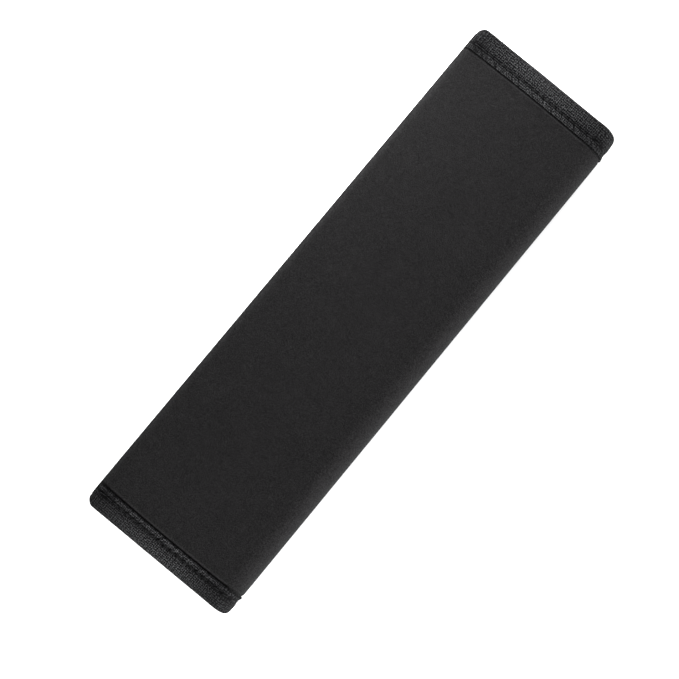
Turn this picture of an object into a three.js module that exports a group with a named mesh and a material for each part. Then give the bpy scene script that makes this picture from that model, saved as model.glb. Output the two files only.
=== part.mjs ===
// A padded sleeve for the shoulder strap of a seat belt, closed as it is worn but with no belt in it.
//
// It is one flat sewn sheet, folded in half lengthwise. The sheet is foam between an outer cover and an
// inner lining. The cover is turned in along both long edges, and a woven tape binds each short end.
// A hook strip and a loop strip hold the two long edges together, so the belt runs in the tunnel
// between the strips and the fold.
//
// Sizes are in millimetres. X runs across the pad, from the open edge at -X to the fold at +X, Y runs
// along it, and Z is up. The pad lies on its back half, with the origin in the middle of its underside.
//
// Each piece is drawn flat, as it is cut and sewn, and is then squeezed under the binding and folded:
//   u  across the flat sheet: 0 on the fold line, below 0 on the back half, above 0 on the front half
//   d  through the sheet: 0 in the middle of the foam, above 0 towards the outer face
//   y  along the sheet
import * as THREE from "three";

// The closed pad
const padLength = 260; // over the two bindings
const closedWidth = 75.5; // from the open edge to the outside of the fold
const tunnelHeight = 5.4; // between the two faces of the lining
const openCornerRadius = 4.2; // seen from the front, at the open edge
const foldPull = 2.6; // how far the taut tape pulls the fold in at each end

// The layers of the sheet
const coverThickness = 0.8;
const foamThickness = 4.6;
const liningThickness = 0.6;
const layerGap = 0.3; // the clearance between two pieces that lie on each other
const endGap = 0.5; // between the sheet's cut end and the binding round it
const turnIn = 7; // how far the cover is turned onto the inner face

// The binding tape and its seam, with distances from the pad's end
const tapeThickness = 0.7;
const tapeReach = 9.6; // the tape's inner edge in the middle of each face
const tapeBow = 1.1; // how much further in that edge lies at the fold and at the open edge
const seamFromEnd = 6.2; // the row of stitches
const beadFromEnd = 3.2; // the fullest place between the stitches and the end
const recovery = 5.5; // how far past the tape the foam takes to be full again
const tapeSideInset = 0.25; // the tape stops this far short of the open edge

// The share of its thickness that the sheet keeps where the binding squeezes it
const squeezeAtEnd = 0.15;
const squeezeAtBead = 0.45;
const squeezeAtSeam = 0.25;
const squeezeAtTapeEdge = 0.45;

// The hook strip and the loop strip
const stripWidth = 16;
const stripFromEdge = 2.5; // from the open edge to the strip
const stripGround = 0.6; // the woven tape that the hooks or loops stand on
const stripPile = 1.2; // the height of the hooks or loops
const selvedge = 1.3; // the bare margin along each side of the strip
const closingSlope = 14; // how far the front half takes to come down to the strips

// Sewing thread
const threadDiameter = 0.4;
const threadGap = 0.15; // between the thread and the tape it lies on
const stitchLength = 3.2;
const stitchRise = 0.15; // how far a stitch stands above the places where it dives
const threadFromEdge = 2.6; // where the binding seam starts and stops, from the open edge

// Fineness of the round parts
const foldSegments = 14;
const edgeSegments = 6;
const faceSegments = 3; // from the fold to the slope, on each half
const slopeSegments = 2;
const recoverySegments = 3; // from the tape to where the foam is full again

// Sizes worked out from those above
const coverInside = foamThickness / 2 + layerGap;
const sheetHalf = coverInside + coverThickness; // from the foam's middle to the outer face
const liningFace = coverInside + liningThickness; // from the foam's middle to the inner face
const tapeInside = sheetHalf + layerGap;
const tapeOutside = tapeInside + tapeThickness;
const endCap = endGap + tapeThickness; // the binding beyond the sheet's cut end
const sheetHalfLength = padLength / 2 - endCap;
const stripThickness = stripGround + stripPile;
const bendRadius = tunnelHeight / 2 + liningFace; // of the foam's middle round the fold
const quarterTurn = (bendRadius * Math.PI) / 2;
const bendCentreX = closedWidth / 2 - bendRadius - sheetHalf;
const bendCentreZ = sheetHalf + bendRadius;
const flatHalf = closedWidth / 2 + bendCentreX + quarterTurn; // half the flat sheet's width
const closedSeparation = 2 * (tapeInside + stripThickness) + layerGap; // of the two halves at the strips
const closingDrop = 2 * bendRadius - closedSeparation;
const slopeEnd = flatHalf - stripFromEdge - stripWidth - layerGap; // where the front half has come down, as u
const slopeStart = slopeEnd - closingSlope;

const clamp = (value, low, high) => Math.min(high, Math.max(low, value));
const smooth = (t) => t * t * (3 - 2 * t);
const range = (count) => Array.from({ length: count + 1 }, (_, i) => i / count);

// The height of a round edge of that radius, at a distance in from its outermost line.
function roundEdge(inwards, radius) {
  const short = radius - clamp(inwards, 0, radius);
  return Math.sqrt(radius * radius - short * short);
}

// The share of its thickness that the sheet keeps, at a distance from the pad's end.
function squeeze(fromEnd) {
  const places = [
    [endCap, squeezeAtEnd],
    [beadFromEnd, squeezeAtBead],
    [seamFromEnd, squeezeAtSeam],
    [tapeReach, squeezeAtTapeEdge],
    [tapeReach + recovery, 1],
  ];
  const next = places.findIndex(([place]) => fromEnd < place);
  if (next === 0) return squeezeAtEnd;
  if (next < 0) return 1;
  const [[from, before], [to, after]] = [places[next - 1], places[next]];
  return before + (after - before) * smooth((fromEnd - from) / (to - from));
}

// How far a corner's rounding pulls the end of the sheet in, at a place across the sheet.
function cornerPull(u) {
  const atOpenEdge = openCornerRadius - roundEdge(flatHalf - Math.abs(u), openCornerRadius);
  const atFold = foldPull * Math.cos(Math.min(Math.abs(u) / bendRadius, Math.PI / 2)) ** 4;
  return atOpenEdge + atFold;
}

// Folds a point of the flat sheet, at an offset outwards from the foam's middle.
function fold(u, offset, y) {
  if (Math.abs(u) <= quarterTurn) {
    const angle = u / bendRadius;
    const reach = bendRadius + offset;
    return new THREE.Vector3(bendCentreX + reach * Math.cos(angle), y, bendCentreZ + reach * Math.sin(angle));
  }
  const x = bendCentreX - (Math.abs(u) - quarterTurn);
  if (u < 0) return new THREE.Vector3(x, y, bendCentreZ - bendRadius - offset);
  const along = clamp((u - slopeStart) / closingSlope, 0, 1);
  const slope = (closingDrop / closingSlope) * 6 * along * (1 - along);
  const steepness = Math.hypot(slope, 1);
  const height = bendCentreZ + bendRadius - closingDrop * smooth(along);
  return new THREE.Vector3(x - (slope / steepness) * offset, y, height + offset / steepness);
}

// Squeezes and folds a point of the flat sheet. The rounded corners and the bow of the tape move it along y.
function placeInSheet(u, d, y) {
  const fromEnd = padLength / 2 - Math.abs(y);
  const within = Math.min(Math.abs(d), foamThickness / 2);
  const depth = Math.sign(d) * (within * squeeze(fromEnd) + Math.abs(d) - within);
  const underTape = clamp((tapeReach - fromEnd) / (tapeReach - endCap), 0, 1);
  const bow = tapeBow * ((2 * Math.abs(u)) / flatHalf - 1) ** 2;
  const inwards = cornerPull(u) * underTape + bow * (1 - underTape);
  return fold(u, depth, Math.sign(y) * (Math.abs(y) - inwards));
}

// The same for the binding and its thread, which also come down over the sheet's round open edges.
function placeOnSheet(u, d, y) {
  const edge = roundEdge(flatHalf - Math.abs(u), sheetHalf);
  const within = Math.min(Math.abs(d), sheetHalf);
  return placeInSheet(u, Math.sign(d) * ((within * edge) / sheetHalf + Math.abs(d) - within), y);
}

// A closed solid whose section is a row of rungs, each from a point of one wall to a point of the other.
// The section is carried through a row of stations, and every point of it is put where it lies when sewn.
function sewn(rungs, stations, place) {
  const corners = [];
  const addFace = (a, b, c, d) => {
    for (const face of [
      [a, b, c],
      [a, c, d],
    ]) {
      const [p, q, r] = face;
      if (!p.equals(q) && !q.equals(r) && !r.equals(p)) corners.push(...face);
    }
  };
  const sections = stations.map((station, index) =>
    rungs.map((rung) => rung.map(([a, b]) => place(a, b, station, index))),
  );
  const last = sections.length - 1;
  for (let i = 0; i + 1 < rungs.length; i++) {
    const [[a, b], [c, d]] = [sections[0][i], sections[0][i + 1]];
    addFace(a, b, d, c);
    const [[e, f], [g, h]] = [sections[last][i], sections[last][i + 1]];
    addFace(e, g, h, f);
  }
  const rings = sections.map((section) => [
    ...section.map(([first]) => first),
    ...section.map(([, second]) => second).reverse(),
  ]);
  for (let s = 0; s < last; s++) {
    const [ring, next] = [rings[s], rings[s + 1]];
    ring.forEach((point, i) => {
      const j = (i + 1) % ring.length;
      addFace(point, ring[j], next[j], next[i]);
    });
  }
  return new THREE.BufferGeometry().setFromPoints(corners);
}

// The rungs between two walls that are drawn with the same number of points.
const between = (wall, other) => wall.map((point, i) => [point, other[i]]);

// The places along one half of the sheet where it changes shape, from the pad's end inwards.
const endPlaces = [
  endCap,
  (endCap + beadFromEnd) / 2,
  beadFromEnd,
  (beadFromEnd + seamFromEnd) / 2,
  seamFromEnd,
  (seamFromEnd + tapeReach) / 2,
  tapeReach,
];
const recoveryPlaces = range(recoverySegments).map((share) => tapeReach + share * recovery).slice(1);
const lengthStations = [...endPlaces, ...recoveryPlaces]
  .map((place) => place - padLength / 2)
  .flatMap((y) => [y, -y])
  .sort((a, b) => a - b);

// The places across the sheet, from the back half's open edge round the fold to the front half's.
const foldStations = range(foldSegments).map((share) => (2 * share - 1) * quarterTurn);
const halfStations = [
  ...range(faceSegments).map((share) => quarterTurn + share * (slopeStart - quarterTurn)),
  ...range(slopeSegments).map((share) => slopeStart + share * closingSlope).slice(1),
  flatHalf - openCornerRadius,
];
const flatStations = [
  ...halfStations.map((u) => -u).reverse(),
  ...foldStations.slice(1, -1),
  ...halfStations,
];

// The points of a half-round end, from its lower side to its upper, on the right or (side -1) the left.
function halfRound(centre, radius, side) {
  return range(edgeSegments).map((share) => {
    const angle = (share - 0.5) * Math.PI;
    return [side * (centre + radius * Math.cos(angle)), radius * Math.sin(angle)];
  });
}

// The outer cover: one sheet round the outside, with both long edges turned in.
function coverOutline() {
  const centre = flatHalf - sheetHalf;
  const flangeEnd = flatHalf - turnIn;
  const wrap = (radius) => [
    [-flangeEnd, -radius],
    ...halfRound(centre, radius, -1),
    ...flatStations.map((u) => [u, radius]),
    ...halfRound(centre, radius, 1).reverse(),
    [flangeEnd, -radius],
  ];
  return between(wrap(coverInside), wrap(sheetHalf));
}

// The foam: one slab with round long edges, inside the cover.
function foamOutline() {
  const centre = flatHalf - sheetHalf;
  const radius = foamThickness / 2;
  const angles = range(edgeSegments / 2).map((share) => (share * Math.PI) / 2);
  const round = angles.map((angle) => [centre + radius * Math.sin(angle), radius * Math.cos(angle)]);
  const face = [
    ...round.map(([u, d]) => [-u, d]).reverse(),
    ...flatStations.map((u) => [u, radius]),
    ...round,
  ];
  return between(
    face.map(([u, d]) => [u, -d]),
    face,
  );
}

// The lining: a flat panel that fills the inner face between the turned-in edges of the cover.
function liningOutline() {
  const side = flatHalf - turnIn - layerGap;
  const stations = [-side, ...flatStations.filter((u) => Math.abs(u) < side), side];
  return stations.map((u) => [
    [u, -liningFace],
    [u, -coverInside],
  ]);
}

// The tape's section where it folds round the sheet's end, as d and y, for the end at +Y.
function tapeOutline() {
  const corners = range(2).map((share) => (share * Math.PI) / 2);
  const leg = endPlaces.map((place) => padLength / 2 - place).reverse();
  const wrap = (extra) => {
    const beside = layerGap + extra;
    const beyond = endGap + extra;
    const half = [
      ...leg.slice(0, -1).map((y) => [sheetHalf + beside, y]),
      ...corners.map((a) => [sheetHalf + beside * Math.cos(a), sheetHalfLength + beyond * Math.sin(a)]),
    ];
    return [...half, ...half.map(([d, y]) => [-d, y]).reverse()];
  };
  return between(wrap(tapeThickness), wrap(0));
}

// The binding of one end, which runs from open edge to open edge round the fold.
function binding(end) {
  const side = flatHalf - tapeSideInset;
  const angles = range(edgeSegments / 2).map((share) => (share * Math.PI) / 2);
  const edge = angles.map((angle) => flatHalf - sheetHalf * (1 - Math.cos(angle)));
  const turned = [...edge.filter((u) => u < side), side];
  const stations = [...flatStations, ...turned, ...turned.map((u) => -u)].sort((a, b) => a - b);
  return sewn(tapeOutline(), stations, (d, y, u) => placeOnSheet(u, end * d, end * y));
}

// One thread of a binding seam: on the outer face (side 1) or the inner face (side -1).
function bindingThread(end, side) {
  const reach = flatHalf - threadFromEdge;
  const stitches = Math.round((2 * reach) / stitchLength);
  const stations = range(2 * stitches).map((share) => (2 * share - 1) * reach);
  const radius = threadDiameter / 2;
  const seam = end * (padLength / 2 - seamFromEnd);
  const lift = side * (tapeOutside + threadGap + radius);
  const section = [
    [
      [lift, seam - radius],
      [lift - radius, seam],
    ],
    [
      [lift + radius, seam],
      [lift, seam + radius],
    ],
  ];
  const rise = (u) => Math.abs(Math.sin((((u + reach) / (2 * reach)) * stitches + 0.5) * Math.PI));
  return sewn(section, stations, (d, y, u) => placeOnSheet(u, d + side * stitchRise * rise(u), y));
}

const stripHalfLength = padLength / 2 - tapeReach - tapeBow - recovery;
const stripStart = flatHalf - stripFromEdge - stripWidth;
const stripEnd = flatHalf - stripFromEdge;

// The hook strip (half 1, on the front half) or the loop strip (half -1, on the back half). The pile
// stands on the woven ground and stops short of its border, where the strip is sewn down.
function fasteningStrip(half) {
  const ground = tapeInside + stripGround;
  const top = tapeInside + stripThickness;
  const rung = (u, height) => [
    [u, -height],
    [u, -tapeInside],
  ];
  const section = [
    rung(stripStart, ground),
    rung(stripStart + selvedge, ground),
    rung(stripStart + selvedge, top),
    rung(stripEnd - selvedge, top),
    rung(stripEnd - selvedge, ground),
    rung(stripEnd, ground),
  ];
  const pileEnd = stripHalfLength - selvedge;
  const stations = [-stripHalfLength, -pileEnd, -pileEnd, pileEnd, pileEnd, stripHalfLength];
  const hasPile = (index) => index > 1 && index < stations.length - 2;
  return sewn(section, stations, (u, d, y, index) =>
    fold(half * u, hasPile(index) ? d : Math.max(d, -ground), half * y),
  );
}

// The thread that sews a strip down: one closed run round the strip's border.
function stripThread(half) {
  const radius = threadDiameter / 2;
  const height = tapeInside + stripGround + threadGap;
  const left = stripStart + selvedge / 2;
  const right = stripEnd - selvedge / 2;
  const far = stripHalfLength - selvedge / 2;
  const box = (points, grow) => {
    points.moveTo(left - grow, -far - grow).lineTo(right + grow, -far - grow);
    return points.lineTo(right + grow, far + grow).lineTo(left - grow, far + grow).closePath();
  };
  const frame = box(new THREE.Shape(), radius);
  frame.holes.push(box(new THREE.Path(), -radius));
  const solid = new THREE.ExtrudeGeometry(frame, { depth: 2 * radius, bevelEnabled: false });
  const points = solid.attributes.position;
  for (let i = 0; i < points.count; i++) {
    const place = fold(half * points.getX(i), -height - points.getZ(i), half * points.getY(i));
    points.setXYZ(i, ...place);
  }
  return solid;
}

// Finishes: black cloth throughout, with a soft nap on the cover and a slight shine on tape and thread.
const finish = (color, roughness) => new THREE.MeshStandardMaterial({ color, roughness, metalness: 0 });
const velour = finish(0x2b2a2b, 0.95);
const foam = finish(0x4a4a48, 1);
const liningCloth = finish(0x222224, 0.9);
const wovenTape = finish(0x303033, 0.7);
const hookAndLoop = finish(0x1e1e20, 0.8);
const thread = finish(0x28282b, 0.6);

const pad = new THREE.Group();
function add(name, geometry, material) {
  const piece = new THREE.Mesh(geometry, material);
  piece.name = name;
  pad.add(piece);
}

add("outer_cover", sewn(coverOutline(), lengthStations, placeInSheet), velour);
add("foam_padding", sewn(foamOutline(), lengthStations, placeInSheet), foam);
add("inner_lining", sewn(liningOutline(), lengthStations, placeInSheet), liningCloth);
for (const [name, end] of [
  ["upper", 1],
  ["lower", -1],
]) {
  add(`${name}_binding`, binding(end), wovenTape);
  add(`${name}_needle_thread`, bindingThread(end, 1), thread);
  add(`${name}_bobbin_thread`, bindingThread(end, -1), thread);
}
for (const [name, half] of [
  ["hook", 1],
  ["loop", -1],
]) {
  add(`${name}_strip`, fasteningStrip(half), hookAndLoop);
  add(`${name}_strip_thread`, stripThread(half), thread);
}

export default pad;
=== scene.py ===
import math

import bpy
import numpy as np
from mathutils import Matrix, Vector


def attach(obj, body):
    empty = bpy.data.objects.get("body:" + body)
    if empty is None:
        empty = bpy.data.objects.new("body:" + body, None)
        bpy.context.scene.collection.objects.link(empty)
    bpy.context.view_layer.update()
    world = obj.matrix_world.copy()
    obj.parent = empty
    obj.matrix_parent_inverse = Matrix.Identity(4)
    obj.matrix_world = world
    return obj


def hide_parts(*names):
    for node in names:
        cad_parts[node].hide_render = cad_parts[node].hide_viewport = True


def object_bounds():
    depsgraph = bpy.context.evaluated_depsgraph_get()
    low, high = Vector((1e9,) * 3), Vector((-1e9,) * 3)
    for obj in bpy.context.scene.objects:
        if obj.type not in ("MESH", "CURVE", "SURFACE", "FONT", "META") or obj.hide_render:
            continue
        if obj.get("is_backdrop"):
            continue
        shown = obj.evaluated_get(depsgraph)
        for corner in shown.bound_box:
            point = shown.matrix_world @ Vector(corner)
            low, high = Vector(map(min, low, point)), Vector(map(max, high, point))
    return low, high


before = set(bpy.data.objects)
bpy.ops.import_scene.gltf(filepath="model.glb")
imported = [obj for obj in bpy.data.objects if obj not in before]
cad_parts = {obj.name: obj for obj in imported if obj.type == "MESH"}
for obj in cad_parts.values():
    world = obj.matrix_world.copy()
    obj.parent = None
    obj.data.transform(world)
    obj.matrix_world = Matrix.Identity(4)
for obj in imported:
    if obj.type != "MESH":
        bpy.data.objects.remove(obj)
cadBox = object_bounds()

# A padded sleeve for a seat belt, folded in half lengthwise. Its pieces are drawn on the flat sheet, in
# millimetres, and are then squeezed under the binding and folded:
#   u across the flat sheet, 0 on the fold line and below 0 on the back half
#   d through the sheet, 0 in the middle of the foam and above 0 towards the outer face
#   y along the sheet
millimetre = 0.001
probe = 0.05  # how far to each side a direction is felt for, in millimetres

sheet = {  # the folded sheet and its layers
    "length": 260,
    "width": 75.5,
    "tunnel": 5.4,  # height of the space for the belt
    "cover": 0.8,
    "foam": 4.6,
    "lining": 0.6,
    "gap": 0.3,  # between two layers
    "endGap": 0.5,  # between the cut end and the tape round it
    "turnIn": 7,  # how far the cover is turned onto the inner face
    "openCorner": 4.2,
    "foldPull": 0.9,  # how far the taut tape pulls the fold in at each end
    "foldRound": 1.6,  # rounds the end off where the fold is seen from the front
    "foldTip": 1.015,  # a little over 1, which blunts that rounding on the fold line
    "crown": 0.5,  # how much the front half rises in its middle
    "crownFade": 40,  # how far from an end the crown is full
    "edgeSink": 1.2,  # how much thinner the front half is at its open edge
    "sinkReach": 9,
}

binding = {  # the tape at each end, with distances from the pad's end
    "thickness": 0.55,
    "clearance": 0.15,
    "reach": 9.6,  # to the tape's inner edge
    "bow": 0.55,  # how much further in that edge lies at the fold and at the open edge
    "extraReach": {1: 1.5, -1: -0.1},  # the two ends are guided by hand, and aren't quite alike
    "seam": 6.7,
    "bead": 4.1,  # the fullest place between the seam and the end
    "recovery": 1.7,  # how far past the tape the foam takes to be full again
    "sideInset": 0.25,
    # share of the foam left at the end, the bead, the seam and the tape's inner edge
    "keepOnFace": (0.26, 0.38, 0.14, 0.42),
    "keepAtFold": (0.6, 0.66, 0.56, 0.8),
    "foldReach": 1.5,  # in quarter turns from the fold line; beyond it the face's shares hold alone
}

strip = {  # the hook strip and the loop strip
    "width": 16,
    "fromEdge": 2.5,
    "fromEnd": 16.2,
    "ground": 0.6,  # the woven tape that the hooks or loops stand on
    "pile": 1.2,  # the room that the hooks or loops take up
    "selvedge": 1.3,
    "slope": 14,  # how far the front half takes to come down to the strips
}

# sizes that follow from those above
coverInside = sheet["foam"] / 2 + sheet["gap"]
sheetHalf = coverInside + sheet["cover"]
liningFace = coverInside + sheet["lining"]
tapeOutside = sheetHalf + binding["clearance"] + binding["thickness"]
endCap = sheet["endGap"] + binding["thickness"]
halfLength = sheet["length"] / 2
cutLength = halfLength - endCap  # half the length of the cut sheet
bendRadius = sheet["tunnel"] / 2 + liningFace  # to the middle of the foam
quarterTurn = bendRadius * math.pi / 2
bendX = sheet["width"] / 2 - bendRadius - sheetHalf
bendZ = sheetHalf + bendRadius
flatHalf = sheet["width"] / 2 + bendX + quarterTurn  # half the width of the flat sheet
stripBack = sheetHalf + sheet["gap"]
stripTop = stripBack + strip["ground"] + strip["pile"]
stripStart = flatHalf - strip["fromEdge"] - strip["width"]
stripFinish = flatHalf - strip["fromEdge"]
stripHalfLength = halfLength - strip["fromEnd"]
closingDrop = 2 * bendRadius - 2 * stripTop - sheet["gap"]  # how far the front half comes down
slopeEnd = stripStart - sheet["gap"]
slopeStart = slopeEnd - strip["slope"]


def smooth(t):
    return t * t * (3 - 2 * t)


def unit(vectors):
    return vectors / np.linalg.norm(vectors, axis=-1, keepdims=True)


def roundEdge(inwards, radius):
    short = radius - np.clip(inwards, 0, radius)
    return np.sqrt(radius * radius - short * short)


# from the flat sheet to the folded pad

def foamKept(fromEnd, u):  # share of its thickness that the foam keeps
    edge = binding["reach"]
    places = np.array([endCap, binding["bead"], binding["seam"], edge, edge + binding["recovery"]])
    index = np.clip(np.searchsorted(places, fromEnd) - 1, 0, len(places) - 2)
    t = smooth(np.clip((fromEnd - places[index]) / np.diff(places)[index], 0, 1))
    onFace, atFold = (np.array([*binding[name], 1]) for name in ("keepOnFace", "keepAtFold"))
    face = onFace[index] * (1 - t) + onFace[index + 1] * t
    fold = atFold[index] * (1 - t) + atFold[index + 1] * t
    bend = smooth(np.clip(binding["foldReach"] - np.abs(u) / quarterTurn, 0, 1))
    return face * (1 - bend) + fold * bend


def cornerPull(u):  # how far inwards the cut end lies
    openEdge = sheet["openCorner"] - roundEdge(flatHalf - np.abs(u), sheet["openCorner"])
    cosine = np.cos(np.minimum(np.abs(u) / bendRadius, math.pi / 2))
    fromFold = (bendRadius + sheetHalf) * (sheet["foldTip"] - cosine)
    atFold = sheet["foldRound"] - roundEdge(fromFold, sheet["foldRound"])
    return openEdge + sheet["foldPull"] * cosine ** 4 + atFold


def foldSheet(u, offset, y):  # offset is out from the middle of the foam
    u, offset, y = np.broadcast_arrays(u, offset, y)
    angle = np.clip(u / bendRadius, -math.pi / 2, math.pi / 2)
    beyond = np.maximum(np.abs(u) - quarterTurn, 0)
    # the front half comes down to the strips in a smooth step, whose steepness turns the cloth
    along = np.clip((u - slopeStart) / strip["slope"], 0, 1)
    slope = closingDrop / strip["slope"] * 6 * along * (1 - along)
    steepness = np.hypot(slope, 1)
    across = np.clip((u - quarterTurn) / (flatHalf - quarterTurn), 0, 1)
    fromEnds = np.clip((halfLength - np.abs(y)) / sheet["crownFade"], 0, 1)
    crown = sheet["crown"] * np.sin(math.pi * across) ** 2 * smooth(fromEnds)
    reach = bendRadius + offset
    x = bendX + reach * np.cos(angle) - beyond - slope / steepness * offset
    height = bendZ + bendRadius * np.sin(angle) - closingDrop * smooth(along) + crown
    z = height + offset * np.where(u > quarterTurn, 1 / steepness, np.sin(angle))
    return np.stack([x, y, z], -1)


def placeInSheet(u, d, y):  # squeezed under the tape, and thinner along the open edge
    u, d, y = np.broadcast_arrays(u, d, y)
    fromEnd = halfLength - np.abs(y)
    within = np.minimum(np.abs(d), sheet["foam"] / 2)
    kept = foamKept(fromEnd, u)
    depth = np.sign(d) * (within * kept + np.abs(d) - within)
    sink = sheet["edgeSink"] * np.exp(-(flatHalf - u) / sheet["sinkReach"]) * kept
    depth = depth - sink * np.clip(2 * d / sheet["foam"], 0, 1)
    underTape = np.clip((binding["reach"] - fromEnd) / (binding["reach"] - endCap), 0, 1)
    bow = binding["bow"] * (2 * np.abs(u) / flatHalf - 1) ** 2
    bow = bow + np.where(y > 0, binding["extraReach"][1], binding["extraReach"][-1])
    fade = np.clip(np.abs(y) / (halfLength - binding["reach"]), 0, 1)
    inwards = cornerPull(u) * underTape + bow * (1 - underTape) * fade
    return foldSheet(u, depth, np.sign(y) * (np.abs(y) - inwards))


def placeOnSheet(u, d, y):  # the binding also comes down over the round open edges
    u, d, y = np.broadcast_arrays(u, d, y)
    edge = roundEdge(flatHalf - np.abs(u), sheetHalf) / sheetHalf
    within = np.minimum(np.abs(d), sheetHalf)
    return placeInSheet(u, np.sign(d) * (within * edge + np.abs(d) - within), y)


# meshes

def meshFrom(name, points, faces, cloth=None):
    mesh = bpy.data.meshes.new(name)
    mesh.from_pydata((np.asarray(points) * millimetre).tolist(), [], np.asarray(faces).tolist())
    if cloth is not None:  # where each point lies on the flat sheet, which the weaves follow
        layer = mesh.attributes.new("cloth", "FLOAT_VECTOR", "POINT")
        layer.data.foreach_set("vector", np.asarray(cloth, np.float32).ravel())
    mesh.shade_smooth()
    made = bpy.data.objects.new(name, mesh)
    bpy.context.scene.collection.objects.link(made)
    return made


def signedVolume(mesh):
    mesh.calc_loop_triangles()
    corners = np.empty(len(mesh.loop_triangles) * 3, np.int32)
    mesh.loop_triangles.foreach_get("vertices", corners)
    places = np.empty(len(mesh.vertices) * 3, np.float32)
    mesh.vertices.foreach_get("co", places)
    a, b, c = places.reshape(-1, 3)[corners.reshape(-1, 3)].astype(float).transpose(1, 0, 2)
    return (a * np.cross(b, c)).sum() / 6


# a closed solid between two walls, each an array of stations by rungs by three
def solidBetween(name, first, second, cloth):
    stations, rungs = first.shape[:2]
    ring = 2 * rungs
    points = np.concatenate([first, second[:, ::-1]], 1).reshape(-1, 3)
    number = np.arange(stations * ring).reshape(stations, ring)
    near, far = number[:-1], number[1:]
    sides = np.stack([near, np.roll(near, -1, 1), np.roll(far, -1, 1), far], -1).reshape(-1, 4)
    faces = [sides]
    for row, turned in ((0, True), (stations - 1, False)):
        low, high = number[row, :rungs], number[row, ::-1][:rungs]
        cap = np.stack([low[:-1], low[1:], high[1:], high[:-1]], -1)
        faces.append(cap[:, ::-1] if turned else cap)
    cloth = np.concatenate([cloth, cloth[:, ::-1]], 1).reshape(-1, 3)
    made = meshFrom(name, points, np.concatenate(faces), cloth)
    if signedVolume(made.data) < 0:
        made.data.flip_normals()
    return made


def addValues(piece, name, values):
    layer = piece.data.attributes.new(name, "FLOAT", "POINT")
    layer.data.foreach_set("value", np.asarray(values, np.float32).ravel())


def keep(piece, node, material):
    piece.data.materials.clear()
    piece.data.materials.append(material)
    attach(piece, "root")
    if node:
        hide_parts(node)
    print(piece.name, len(piece.data.polygons), "faces")


# stations along and across the sheet

def lengthStations(detail):  # a column, finer towards both cut ends
    near = np.arange(endCap, detail["fineReach"], detail["fineStation"])
    count = int(math.ceil((halfLength - detail["fineReach"]) / detail["coarseStation"]))
    half = halfLength - np.concatenate([near, np.linspace(detail["fineReach"], halfLength, count + 1)])
    return np.concatenate([-half, half[-2::-1]])[:, None]


def faceStations(detail, margin):
    bend = np.linspace(-quarterTurn, quarterTurn, detail["foldSteps"] + 1)
    side = flatHalf - margin
    count = int(math.ceil((side - quarterTurn) / detail["faceStep"]))
    face = np.linspace(quarterTurn, side, count + 1)[1:]
    return np.concatenate([-face[::-1], bend, face])


# materials

def addNode(tree, kind, inputs=None, **settings):
    node = tree.nodes.new(kind)
    for name, value in settings.items():
        setattr(node, name, value)
    for name, value in (inputs or {}).items():
        if isinstance(value, bpy.types.NodeSocket):
            tree.links.new(value, node.inputs[name])
        else:
            node.inputs[name].default_value = value
    return node


def newMaterial(name, shader):
    material = bpy.data.materials.new(name)
    material.use_nodes = True
    tree = material.node_tree
    surface = tree.nodes["Principled BSDF"]
    for setting, value in shader.items():
        surface.inputs[setting].default_value = value
    return material, tree, surface


def clothPlace(tree):
    return addNode(tree, "ShaderNodeAttribute", attribute_name="cloth").outputs["Vector"]


def pieceValue(tree, name):
    return addNode(tree, "ShaderNodeAttribute", attribute_name=name).outputs["Fac"]


def noise(tree, vector, scale, detail=2.0, roughness=0.5):
    inputs = {"Vector": vector, "Scale": scale, "Detail": detail, "Roughness": roughness}
    return addNode(tree, "ShaderNodeTexNoise", inputs).outputs["Fac"]


def bands(tree, vector, pitch, direction, distortion):  # pitch in millimetres
    # at a scale of 1 the wave texture's bands are pi / 10 apart
    inputs = {"Vector": vector, "Scale": math.pi / 10 / pitch, "Distortion": distortion, "Detail": 1.0}
    return addNode(tree, "ShaderNodeTexWave", inputs, bands_direction=direction).outputs["Fac"]


def calculate(tree, operation, a, b):
    return addNode(tree, "ShaderNodeMath", {0: a, 1: b}, operation=operation).outputs[0]


def mixture(tree, *parts):  # the sum of some values, each times its share
    values = [calculate(tree, "MULTIPLY", value, share) for value, share in parts]
    total = values[0]
    for value in values[1:]:
        total = calculate(tree, "ADD", total, value)
    return total


def rescaled(tree, value, low, high):  # low becomes 0 and high becomes 1
    inputs = {"Value": value, "From Min": low, "From Max": high}
    return addNode(tree, "ShaderNodeMapRange", inputs).outputs["Result"]


def paint(tree, surface, share, finish):  # from the finish's dark colour to its light one
    node = addNode(tree, "ShaderNodeMix", {"Factor": share}, data_type="RGBA")
    darkSocket, lightSocket = node.inputs[6], node.inputs[7]
    darkSocket.default_value = (*finish["dark"], 1)
    lightSocket.default_value = (*finish["light"], 1)
    tree.links.new(node.outputs[2], surface.inputs["Base Color"])


def addBump(tree, surface, height, distance, strength):  # distance in millimetres
    inputs = {"Height": height, "Distance": distance * millimetre, "Strength": strength}
    bump = addNode(tree, "ShaderNodeBump", inputs)
    tree.links.new(bump.outputs["Normal"], surface.inputs["Normal"])


velour = {
    "dark": (0.001, 0.001, 0.001),
    "light": (0.0124, 0.0122, 0.0124),
    "napScale": 2.4,
    "napShare": 0.88,
    "napHeight": 0.32,
    "layScale": 0.06,  # the broad, faint clouds where the nap lies another way
    "layShare": 0.05,
    "patchScale": 0.4,
    "patchShare": 0.07,
    "patchHeight": 0.6,
    "paintedGlintScale": 1.3,  # painted glints: single fibres of the nap painted light
    "paintedGlintRange": (0.66, 0.78),
    "paintedGlintShare": 0.16,
    "shadeRange": (0.36, 0.66),
    "paintedCreviceShade": 0.22,  # painted shade: how much darker the cover is painted in the crevice beside the tape
    "paintedShadeReach": 1.5,
}


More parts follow.
